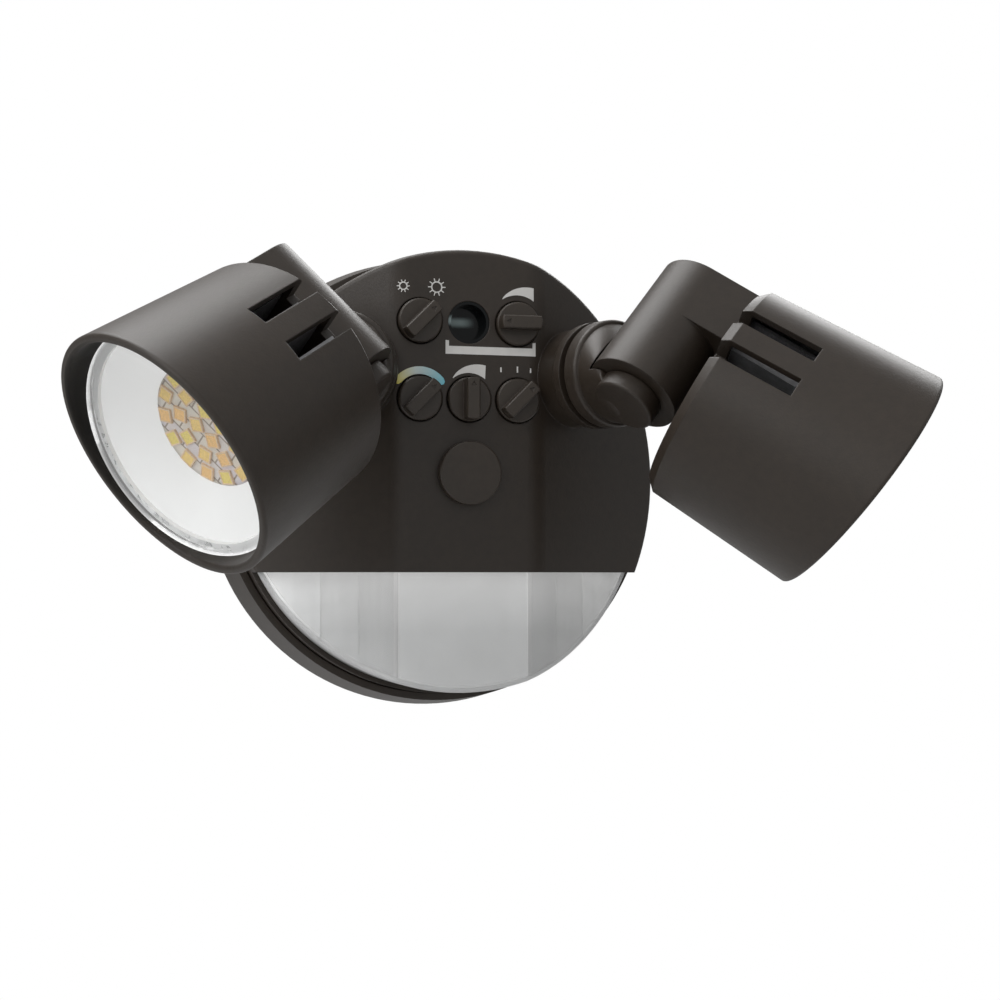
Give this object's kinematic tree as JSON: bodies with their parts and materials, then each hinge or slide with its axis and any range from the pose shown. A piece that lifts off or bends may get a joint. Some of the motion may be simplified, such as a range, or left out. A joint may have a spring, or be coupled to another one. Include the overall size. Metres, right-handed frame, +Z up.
{
  "type": "motion sensor security light",
  "caption": "Round wall canopy with a sloped front cover, milky sensor lens and setting dials, and adjustable round lamp heads on jointed arms.",
  "frame": {"origin": "centre of the canopy's back on the wall, which is the centre of the mounting bar's slot pattern", "axes": "+Z up, the light faces -Y, and the wall is the plane y = 0"},
  "size_m": [0.2371, 0.1496, 0.1396],
  "materials": {
    "powder_coat": "satin dark bronze powder coat",
    "bronze_plastic": "matte dark bronze moulded plastic",
    "lens_plastic": "translucent milky moulded lens",
    "window_plastic": "glossy smoked window",
    "white_plastic": "white satin reflector",
    "clear_glass": "clear polished glass",
    "black_rubber": "matte black rubber",
    "foam": "closed-cell foam",
    "zinc_steel": "zinc plated steel",
    "green_screw": "green plated screw",
    "cast_aluminium": "as-cast aluminium",
    "board": "green solder mask",
    "white_board": "white solder mask on aluminium",
    "led": "yellow phosphor",
    "black_plastic": "black moulded plastic",
    "white_silicone": "white silicone",
    "sensor_can": "nickel plated can"
  },
  "bodies": {
    "canopy": {"rear_housing": "powder_coat", "wall_gasket": "foam", "cover_seal": "black_rubber", "mounting_bracket": "zinc_steel", "ground_screw": "green_screw", "centre_screw": "zinc_steel", "screw_plug": "bronze_plastic", "front_cover": "powder_coat", "pir_lens": "lens_plastic", "sensor_board": "board", "motion_sensor": "sensor_can", "sensor_shroud": "black_plastic", "control_board": "board", "board_screws": "zinc_steel", "cover_screws": "zinc_steel", "driver_board": "board", "driver_parts": "black_plastic", "photocell_window": "window_plastic", "photocell": "white_plastic", "potentiometers": "black_plastic", "mode_switch": "black_plastic", "socket_seal_right": "black_rubber", "socket_seal_left": "black_rubber"},
    "elbow_right": {"elbow_right": "powder_coat", "swivel_nut_right": "zinc_steel"},
    "lamp_right": {"arm_right": "powder_coat", "tilt_screw_right": "zinc_steel", "head_screws_right": "zinc_steel", "head_shell_right": "powder_coat", "heat_sink_right": "cast_aluminium", "led_board_right": "white_board", "led_chips_right": "led", "reflector_right": "white_plastic", "glass_seal_right": "white_silicone", "head_glass_right": "clear_glass"},
    "elbow_left": {"elbow_left": "powder_coat", "swivel_nut_left": "zinc_steel"},
    "lamp_left": {"arm_left": "powder_coat", "tilt_screw_left": "zinc_steel", "head_screws_left": "zinc_steel", "head_shell_left": "powder_coat", "heat_sink_left": "cast_aluminium", "led_board_left": "white_board", "led_chips_left": "led", "reflector_left": "white_plastic", "glass_seal_left": "white_silicone", "head_glass_left": "clear_glass"},
    "brightness_dial": {"brightness_dial": "bronze_plastic"},
    "daylight_dial": {"daylight_dial": "bronze_plastic"},
    "color_dial": {"color_dial": "bronze_plastic"},
    "motion_dial": {"motion_dial": "bronze_plastic"},
    "mode_dial": {"mode_dial": "bronze_plastic"}
  },
  "joints": [
    {"name": "swivel_right", "type": "hinge", "parent": "canopy", "child": "elbow_right", "pos_m": [0.0459, -0.0813, 0.0289], "axis": [0.3305, -0.9438, 0], "range_deg": [-53, 71]},
    {"name": "tilt_right", "type": "hinge", "parent": "elbow_right", "child": "lamp_right", "pos_m": [0.0459, -0.0813, 0.0289], "axis": [0.6254, 0.219, 0.749], "range_deg": [-50, 27]},
    {"name": "swivel_left", "type": "hinge", "parent": "canopy", "child": "elbow_left", "pos_m": [-0.0459, -0.0813, 0.0289], "axis": [-0.3305, -0.9438, 0], "range_deg": [-74, 50]},
    {"name": "tilt_left", "type": "hinge", "parent": "elbow_left", "child": "lamp_left", "pos_m": [-0.0459, -0.0813, 0.0289], "axis": [-0.665, 0.2329, 0.7096], "range_deg": [-35, 41]},
    {"name": "brightness_turn", "type": "hinge", "parent": "canopy", "child": "brightness_dial", "pos_m": [-0.0146, -0.0543, 0.0438], "axis": [0, -1, 0], "range_deg": [-90, 180]},
    {"name": "daylight_turn", "type": "hinge", "parent": "canopy", "child": "daylight_dial", "pos_m": [0.0146, -0.0543, 0.0438], "axis": [0, -1, 0], "range_deg": [-225, 45]},
    {"name": "color_turn", "type": "hinge", "parent": "canopy", "child": "color_dial", "pos_m": [-0.0146, -0.0543, 0.0214], "axis": [0, -1, 0], "range_deg": [-90, 180]},
    {"name": "motion_turn", "type": "hinge", "parent": "canopy", "child": "motion_dial", "pos_m": [0, -0.0543, 0.0214], "axis": [0, -1, 0], "range_deg": [-135, 135]},
    {"name": "mode_turn", "type": "hinge", "parent": "canopy", "child": "mode_dial", "pos_m": [0.0146, -0.0543, 0.0214], "axis": [0, -1, 0], "range_deg": [0, 90]}
  ]
}
